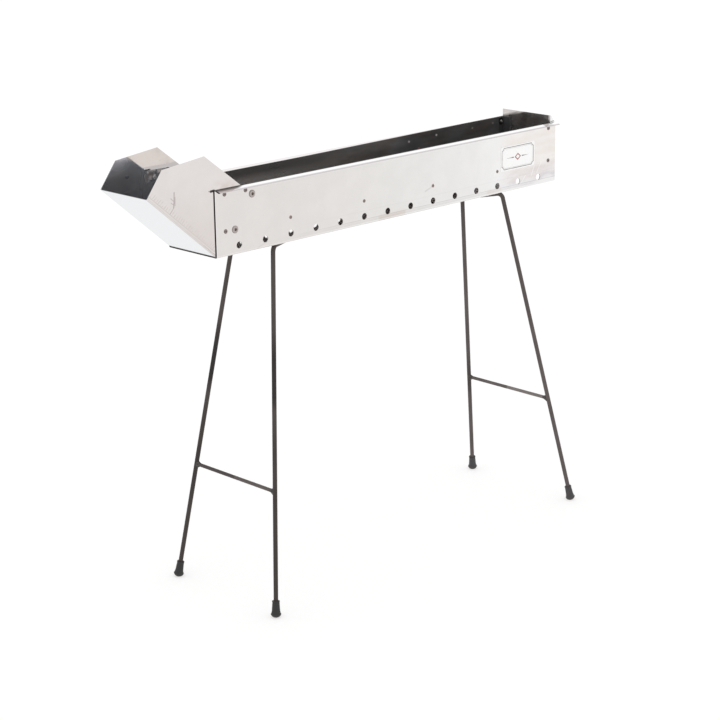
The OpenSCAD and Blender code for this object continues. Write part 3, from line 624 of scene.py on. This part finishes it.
def weld_paint():
    paint = Paint("weld_steel")
    scale = paint.patches(0.4, 0.65, 260, detail=4)
    colour = paint.mix(scale, (0.036, 0.031, 0.03), (0.085, 0.078, 0.074))
    return paint.finish(Base_Color=colour, Metallic=0.4, Roughness=paint.fade(scale, 0.4, 0.6),
                        Normal=paint.bump(paint.noise(900, detail=3), 0.12 * MM))


def rubber_paint():
    paint = Paint("foot_rubber")
    dust = paint.patches(0.45, 0.7, 120, detail=5)
    low = paint.rise(paint.z, 9 * MM, 1 * MM)
    colour = paint.mix(paint.times(dust, 0.5), (0.017, 0.017, 0.017), (0.034, 0.033, 0.032))
    colour = paint.mark(colour, paint.rise(paint.x, 0, 0.1), 0.5, (0.075, 0.070, 0.072))
    colour = paint.mark(colour, low, paint.fade(dust, 0.15, 0.5), (0.075, 0.07, 0.065))
    grain = paint.noise(2200, detail=2)
    return paint.finish(Base_Color=colour, Roughness=paint.fade(dust, 0.5, 0.72), Specular_IOR_Level=0.42,
                        Normal=paint.bump(grain, 0.06 * MM))


def clip_paint():
    paint = Paint("clip_steel")
    dull = paint.patches(0.35, 0.7, 70, detail=4)
    colour = paint.mix(dull, (0.58, 0.56, 0.54), (0.40, 0.38, 0.365))
    return paint.finish(Base_Color=colour, Metallic=1.0, Roughness=paint.fade(dull, 0.22, 0.42),
                        Normal=paint.bump(paint.noise(500, detail=2), 0.05 * MM))


# ---- Fine pieces ----

def new_piece(name, bm, material, body, slot, *stands_for):
    """Turns built geometry into a piece that rides on a body and stands for CAD nodes."""
    bmesh.ops.recalc_face_normals(bm, faces=bm.faces)
    mesh = bpy.data.meshes.new(name)
    bm.to_mesh(mesh)
    bm.free()
    mesh.materials.append(material)
    mesh.polygons.foreach_set("use_smooth", [True] * len(mesh.polygons))
    piece = bpy.data.objects.new(name, mesh)
    bpy.context.scene.collection.objects.link(piece)
    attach(piece, body)
    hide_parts(*stands_for)
    return piece


def solids(node):
    """Places of the vertices of each separate solid in a CAD node."""
    bm = bmesh.new()
    bm.from_mesh(nodes[node].data)
    bmesh.ops.remove_doubles(bm, verts=bm.verts, dist=0.001 * MM)
    waiting, found = set(bm.verts), []
    while waiting:
        edge_of_search = [waiting.pop()]
        solid = []
        while edge_of_search:
            vertex = edge_of_search.pop()
            solid.append(vertex.co.copy())
            for edge in vertex.link_edges:
                other = edge.other_vert(vertex)
                if other in waiting:
                    waiting.remove(other)
                    edge_of_search.append(other)
        found.append(solid)
    bm.free()
    return found


def smooth_line(points, steps=6):
    """Points on a soft curve through the given ones."""
    line = []
    for i in range(len(points) - 1):
        before, start = Vector(points[max(i - 1, 0)]), Vector(points[i])
        end, after = Vector(points[i + 1]), Vector(points[min(i + 2, len(points) - 1)])
        for k in range(steps):
            t = k / steps
            line.append(0.5 * (2 * start + (end - before) * t + (2 * before - 5 * start + 4 * end - after) * t ** 2
                               + (3 * start - before - 3 * end + after) * t ** 3))
    line.append(Vector(points[-1]))
    return line


def facing(direction):
    """Rotation that turns Z to a direction."""
    return direction.to_track_quat("Z", "Y").to_matrix()


def lathe(bm, profile, origin, direction, marks, around=40):
    """Spins a profile of (radius, height) about a direction, and marks each ring with a number for its material."""
    turn = facing(direction)
    layer = bm.verts.layers.float.get("mark") or bm.verts.layers.float.new("mark")
    rings = []
    for (radius, height), mark in zip(profile, marks):
        if radius < 1e-7:
            spots = [Vector((0, 0, height))]
        else:
            spots = [Vector((radius * math.cos(a), radius * math.sin(a), height))
                     for a in (math.tau * k / around for k in range(around))]
        ring = [bm.verts.new(origin + turn @ spot) for spot in spots]
        for vertex in ring:
            vertex[layer] = mark
        rings.append(ring)
    for ring, above_it in zip(rings, rings[1:]):
        for k in range(around):
            corners = [ring[k % len(ring)], ring[(k + 1) % len(ring)],
                       above_it[(k + 1) % len(above_it)], above_it[k % len(above_it)]]
            bm.faces.new(list(dict.fromkeys(corners)))
    return rings


BULB_BLACK = (0.07, 0.07, 0.075)
BULB_DARK = (0.16, 0.145, 0.135)
BULB_MIDDLE = (0.28, 0.27, 0.265)
BULB_BRIGHT = (0.50, 0.47, 0.45)


def rivet_paint(name, rim, face, centre, behind):
    """Blind rivet: colours from the rim of its flange to the broken stem in its middle, and of the bulb behind."""
    paint = Paint(name)
    node = paint.tree.nodes.new("ShaderNodeAttribute")
    node.attribute_name = "mark"
    mark = node.outputs["Fac"]
    stain = paint.patches(0.35, 0.7, 420, detail=4)
    colour = paint.mix(paint.rise(mark, 0.02, 0.22), rim, face)
    colour = paint.mix(paint.rise(mark, 0.52, 0.7), colour, centre)
    colour = paint.mark(colour, stain, 0.3, rim)
    behind = paint.mix(paint.rise(paint.x, along(50), along(40)), behind, BULB_BLACK)
    colour = paint.mix(paint.rise(mark, 1.2, 1.4), colour, behind)
    return paint.finish(Base_Color=colour, Metallic=0.85, Roughness=paint.fade(stain, 0.3, 0.48),
                        Normal=paint.bump(paint.noise(1500, detail=2), 0.04 * MM))


def add_rivets(node, material, across, seat, grip, body="trough"):
    """Rivets with a soft flange, a broken stem and a crimped bulb, in the places and sizes of a CAD node's.

    across is the axis that they run along, 1 for Y and 2 for Z; seat is the face that they sit on.
    """
    bm = bmesh.new()
    for solid in solids(node):
        low = Vector([min(p[i] for p in solid) for i in range(3)])
        high = Vector([max(p[i] for p in solid) for i in range(3)])
        middle = (low + high) / 2
        direction = Vector((0, 0, 0))
        direction[across] = -1.0 if across == 2 or middle.y < 0 else 1.0
        origin = middle.copy()
        origin[across] = seat * direction[across] if across == 1 else seat
        reach = [(p - origin).dot(direction) for p in solid]
        head_h, tail = max(reach), min(reach)
        head_r = (high.x - low.x) / 2
        bulb_r = max(math.hypot(*[(p - origin)[i] for i in range(3) if i != across])
                     for p, r in zip(solid, reach) if r < -grip + 0.01 * MM)
        stem_r = head_r * 0.27
        outer = smooth_line([(0, head_h * 0.42), (stem_r * 0.55, head_h * 0.46), (stem_r * 0.9, head_h * 0.34),
                             (stem_r * 1.05, head_h * 0.42), (stem_r * 1.2, head_h * 0.86), (head_r * 0.5, head_h),
                             (head_r * 0.8, head_h * 0.86), (head_r * 0.96, head_h * 0.5), (head_r, head_h * 0.22),
                             (head_r * 0.985, 0)], 3)
        lathe(bm, outer, origin, direction, [1 - (p[0] / head_r) for p in outer])
        mouth_r = bulb_r * 0.55
        inner = smooth_line([(bulb_r * 0.75, -grip + 0.1 * MM), (bulb_r * 0.98, -grip - 0.2 * MM),
                             (bulb_r, -grip + (tail + grip) * 0.35), (bulb_r * 0.86, -grip + (tail + grip) * 0.7),
                             (mouth_r * 1.25, tail * 0.99 - grip * 0.01), (mouth_r * 0.9, tail),
                             (mouth_r * 0.5, tail + 0.5 * MM), (0, tail + 0.35 * MM)], 3)
        lathe(bm, inner, origin, direction, [2.0] * len(inner))
    bmesh.ops.remove_doubles(bm, verts=bm.verts, dist=0.001 * MM)
    return new_piece(node + "_fine", bm, material, body, "rivet_steel", node)


def rod_line(node):
    """Foot end of a leg's rod and the direction up it, from the end rings of its straight."""
    heights = sorted({round(v.co.z, 6) for v in nodes[node].data.vertices})
    gap, low_top = max((b - a, a) for a, b in zip(heights, heights[1:]))
    lower = [v.co for v in nodes[node].data.vertices if v.co.z <= low_top + 1e-6]
    upper = [v.co for v in nodes[node].data.vertices if low_top + gap - 1e-6 <= v.co.z <= low_top + gap + 1.2 * MM]
    foot = sum(lower, Vector()) / len(lower)
    top = sum(upper, Vector()) / len(upper)
    return foot, (top - foot).normalized()


FOOT_PROFILE = [(0, -0.8), (4.5, 0.25), (7.6, 2.6), (8.9, 4.6), (9.2, 5.6), (8.85, 6.5), (8.25, 7.5), (7.75, 9.4),
                (7.25, 12.5), (6.9, 17), (6.6, 22), (6.42, 25.6), (6.5, 26.6), (6.72, 27.4), (6.74, 28.3),
                (6.5, 29.1), (5.8, 29.5), (4.9, 29.35), (4.25, 28.7), (3.95, 27.4)]


def add_foot(name, spot, direction, body, material, mm=MM):
    """Bell-shaped rubber foot with a ridge round its base and a rolled top edge, flat where it stands."""
    bm = bmesh.new()
    profile = [(r * mm, h * mm) for r, h in smooth_line(FOOT_PROFILE, 4)]
    lathe(bm, profile, spot, direction, [0] * len(profile), around=56)
    for vertex in bm.verts:
        vertex.co.z = max(vertex.co.z, 0)
    return new_piece(name + "_fine", bm, material, body, "foot_rubber", name)


def add_brace(name, lines, body, material, weld):
    """Brace between two legs, with a rippled weld bead at each end that follows the leg's round."""
    low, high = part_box(name)
    height = (low.z + high.z) / 2
    ends = [foot + up * ((height - foot.z) / up.z) for foot, up in lines]
    inward = (ends[1] - ends[0]).normalized()
    length = (ends[1] - ends[0]).length
    around, bead = 40, 7.5 * MM

    def ring(bm, end, up, sign, out, tall, wide, seated):
        """Ring about the brace, tall along the leg and wide across it; a seated one ends on the leg's surface."""
        across = inward.cross(up).normalized()
        tall_way = across.cross(inward).normalized()
        vertices = []
        for k in range(around):
            angle = math.tau * k / around
            side, rise = wide * math.cos(angle), tall * math.sin(angle)
            rough = noise.noise(Vector((math.cos(angle) * 1.7, math.sin(angle) * 1.7, (out + end.x) * 900)))
            grow = 1 + 0.09 * rough * min(1, (tall - BRACE_R) / (1.5 * MM)) if tall > BRACE_R else 1
            spot = end + across * side * grow + tall_way * rise * grow
            hold = math.sqrt(max((ROD_R - 0.25 * MM) ** 2 - (side * grow) ** 2, 0))
            distance = hold if seated else max(hold, ROD_R) + out
            vertices.append(bm.verts.new(spot + inward * sign * distance))
        return vertices

    def skin(bm, rings):
        for first, second in zip(rings, rings[1:]):
            for k in range(around):
                bm.faces.new((first[k], first[(k + 1) % around], second[(k + 1) % around], second[k]))

    bar = bmesh.new()
    stations = [0.3 * MM] + [length * share for share in (0.25, 0.5, 0.75)] + [length - 0.3 * MM]
    rings = []
    for station in stations:
        spot = ends[0] + inward * min(max(station, ROD_R * 0.6), length - ROD_R * 0.6)
        turn = facing(inward)
        rings.append([bar.verts.new(spot + turn @ Vector((BRACE_R * math.cos(a), BRACE_R * math.sin(a), 0)))
                      for a in (math.tau * k / around for k in range(around))])
    skin(bar, rings)
    piece = new_piece(name + "_fine", bar, material, body, "rod_steel", name)

    beads = bmesh.new()
    for (foot, up), end, sign in zip(lines, ends, (1, -1)):
        rings = [ring(beads, end, up, sign, 0, 6.9 * MM, 3.7 * MM, True)]
        steps = 14
        for k in range(steps + 1):
            share = k / steps
            ripple = 0.22 * MM * math.sin(share * math.tau * 2.5) * (1 - share)
            tall = BRACE_R - 0.05 * MM + (3.6 * MM) * (1 - share) ** 1.5 + ripple
            wide = BRACE_R - 0.05 * MM + (0.9 * MM) * (1 - share) ** 1.2 + ripple
            rings.append(ring(beads, end, up, sign, bead * share ** 1.15 - 0.9 * MM * (1 - share), tall, wide, False))
        skin(beads, rings)
    bead_piece = new_piece(name + "_welds", beads, weld, body, "rod_steel")
    return piece, bead_piece


def add_label(material):
    """Bare enamelled plate with softened edges and a shallow sunk field."""
    low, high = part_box("label_plate")
    half_w, half_h = (high.x - low.x) / 2, (high.z - low.z) / 2
    middle = (low + high) / 2
    back, face = high.y, low.y
    corner = 3 * MM
    per_corner = 8
    bm = bmesh.new()

    def loop(inset, y):
        r = max(corner - inset, 0.6 * MM)
        vertices = []
        for quarter, (sx, sz) in enumerate(((1, 1), (-1, 1), (-1, -1), (1, -1))):
            cx, cz = sx * (half_w - inset - r), sz * (half_h - inset - r)
            for k in range(per_corner + 1):
                angle = math.pi / 2 * (quarter + k / per_corner)
                spot = (middle.x + cx + r * math.cos(angle), y, middle.z + cz + r * math.sin(angle))
                vertices.append(bm.verts.new(spot))
        return vertices

    loops = [loop(0, back), loop(0, face + 0.25 * MM), loop(0.08 * MM, face + 0.08 * MM), loop(0.25 * MM, face),
             loop(2.0 * MM, face), loop(2.12 * MM, face + 0.04 * MM), loop(2.24 * MM, face + 0.12 * MM)]
    for first, second in zip(loops, loops[1:]):
        for k in range(len(first)):
            bm.faces.new((first[k], first[(k + 1) % len(first)], second[(k + 1) % len(first)], second[k]))
    bm.faces.new(loops[-1])
    return new_piece("label_plate_fine", bm, material, "trough", "label", "label_plate")


def label_paint():
    """White enamel with a plain printed border, and a lozenge between two tapering rules."""
    paint = Paint("label_enamel")
    low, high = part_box("label_plate")
    middle = (low + high) / 2
    from_middle_x = paint.math("ABSOLUTE", paint.math("SUBTRACT", paint.x, middle.x))
    from_middle_z = paint.math("ABSOLUTE", paint.math("SUBTRACT", paint.z, middle.z))
    edge_x = paint.math("SUBTRACT", (high.x - low.x) / 2, from_middle_x)
    edge_z = paint.math("SUBTRACT", (high.z - low.z) / 2, from_middle_z)
    # The border steps round a hollow at each corner
    corner = paint.math("SQRT", paint.math("ADD", paint.math("POWER", edge_x, 2), paint.math("POWER", edge_z, 2)))
    inset = paint.math("MINIMUM", paint.math("MINIMUM", edge_x, edge_z), paint.math("SUBTRACT", corner, 6 * MM))
    border = paint.most(paint.band(inset, 2.4 * MM, 3.7 * MM, 0.3 * MM),
                        paint.times(paint.band(inset, 5.0 * MM, 5.5 * MM, 0.2 * MM), 0.7))
    rule_half = paint.times(paint.rise(from_middle_x, 36 * MM, 12 * MM), 1.5 * MM)
    rules = paint.times(paint.rise(from_middle_z, rule_half, paint.times(rule_half, 0.4)),
                        paint.rise(from_middle_x, 11 * MM, 12 * MM), paint.rise(from_middle_x, 34 * MM, 31 * MM))
    diamond = paint.math("ADD", from_middle_x, paint.times(from_middle_z, 1.3))
    lozenge = paint.band(diamond, 5.5 * MM, 9 * MM, 0.5 * MM)
    worn = paint.patches(0.3, 0.55, 90, detail=4)
    ink = paint.fade(worn, 0.65, 1.0)
    colour = paint.mark((0.92, 0.92, 0.92), paint.most(border, rules), ink, (0.16, 0.13, 0.13))
    colour = paint.mark(colour, lozenge, ink, (0.36, 0.10, 0.09))
    smudge = paint.patches(0.5, 0.75, 40, detail=4, shift=3)
    return paint.finish(Base_Color=colour, Roughness=paint.fade(smudge, 0.22, 0.4), Coat_Weight=0.3,
                        Coat_Roughness=0.12, Normal=paint.bump(paint.noise(260, detail=2), 0.03 * MM))


def dress(node, material):
    """Gives a CAD node's object its finish."""
    data = nodes[node].data
    data.materials.clear()
    data.materials.append(material)


# ---- Everything in its place ----

make_camera()
make_studio()

dress("trough_shell", trough_paint())
dress("scoop", scoop_paint())
dress("end_plate", end_plate_paint())
dress("charcoal_grate", grate_paint())
clip_steel, weld_steel, rubber = clip_paint(), weld_paint(), rubber_paint()
rods = {"left": rod_paint("left_rod_steel", (0.30, ROD_BROWN), (0.37, ROD_WARM), (0.40, ROD_DARK), (0.465, ROD_DARK),
                          (0.51, ROD_WARM)),
        "right": rod_paint("right_rod_steel", (0.20, ROD_PALE), (0.50, ROD_PALE), (0.63, ROD_WARM))}
braces = {"left": rod_paint("left_brace_steel", (0.3, ROD_PALE), (0.6, ROD_PALE)),
          "right": rod_paint("right_brace_steel", (0.3, BRACE_PALE), (0.6, BRACE_PALE))}
for end in ("left", "right"):
    lines = []
    for side in ("front", "rear"):
        dress(f"{end}_{side}_clip", clip_steel)
        dress(f"{end}_{side}_leg", rods[end])
        foot_end, up = rod_line(f"{end}_{side}_leg")
        lines.append((foot_end, up))
        add_foot(f"{end}_{side}_foot", foot_end - up * (foot_end.z / up.z), up, f"{end}_legs", rubber)
    add_brace(f"{end}_brace", lines, f"{end}_legs", braces[end], weld_steel)
add_label(label_paint())

large = rivet_paint("large_rivets", (0.33, 0.295, 0.285), (0.43, 0.385, 0.37), (0.10, 0.065, 0.05), BULB_BRIGHT)
small = rivet_paint("scoop_rivets", (0.17, 0.135, 0.125), (0.27, 0.235, 0.225), (0.15, 0.12, 0.11), BULB_BRIGHT)
sooty = rivet_paint("small_rivets", (0.20, 0.15, 0.135), (0.33, 0.265, 0.245), (0.17, 0.13, 0.115), BULB_DARK)
ends = rivet_paint("end_rivets", (0.17, 0.135, 0.125), (0.27, 0.235, 0.225), (0.15, 0.12, 0.11), BULB_MIDDLE)
clean = rivet_paint("clip_rivets", (0.36, 0.35, 0.34), (0.55, 0.54, 0.53), (0.2, 0.19, 0.185), (0.14, 0.13, 0.12))
add_rivets("scoop_large_rivets", large, 1, WALL_OUT, 2 * SHEET)
add_rivets("scoop_small_rivets", small, 1, WALL_OUT, 2 * SHEET)
add_rivets("grate_rivets", sooty, 1, WALL_OUT, 2 * SHEET)
add_rivets("end_plate_rivets", ends, 1, WALL_OUT, 2 * SHEET)
CLIP_STRAP = 1.5 * MM
for end in ("left", "right"):
    add_rivets(f"{end}_clip_rivets", clean, 2, UNDERSIDE - CLIP_STRAP, CLIP_STRAP + SHEET)
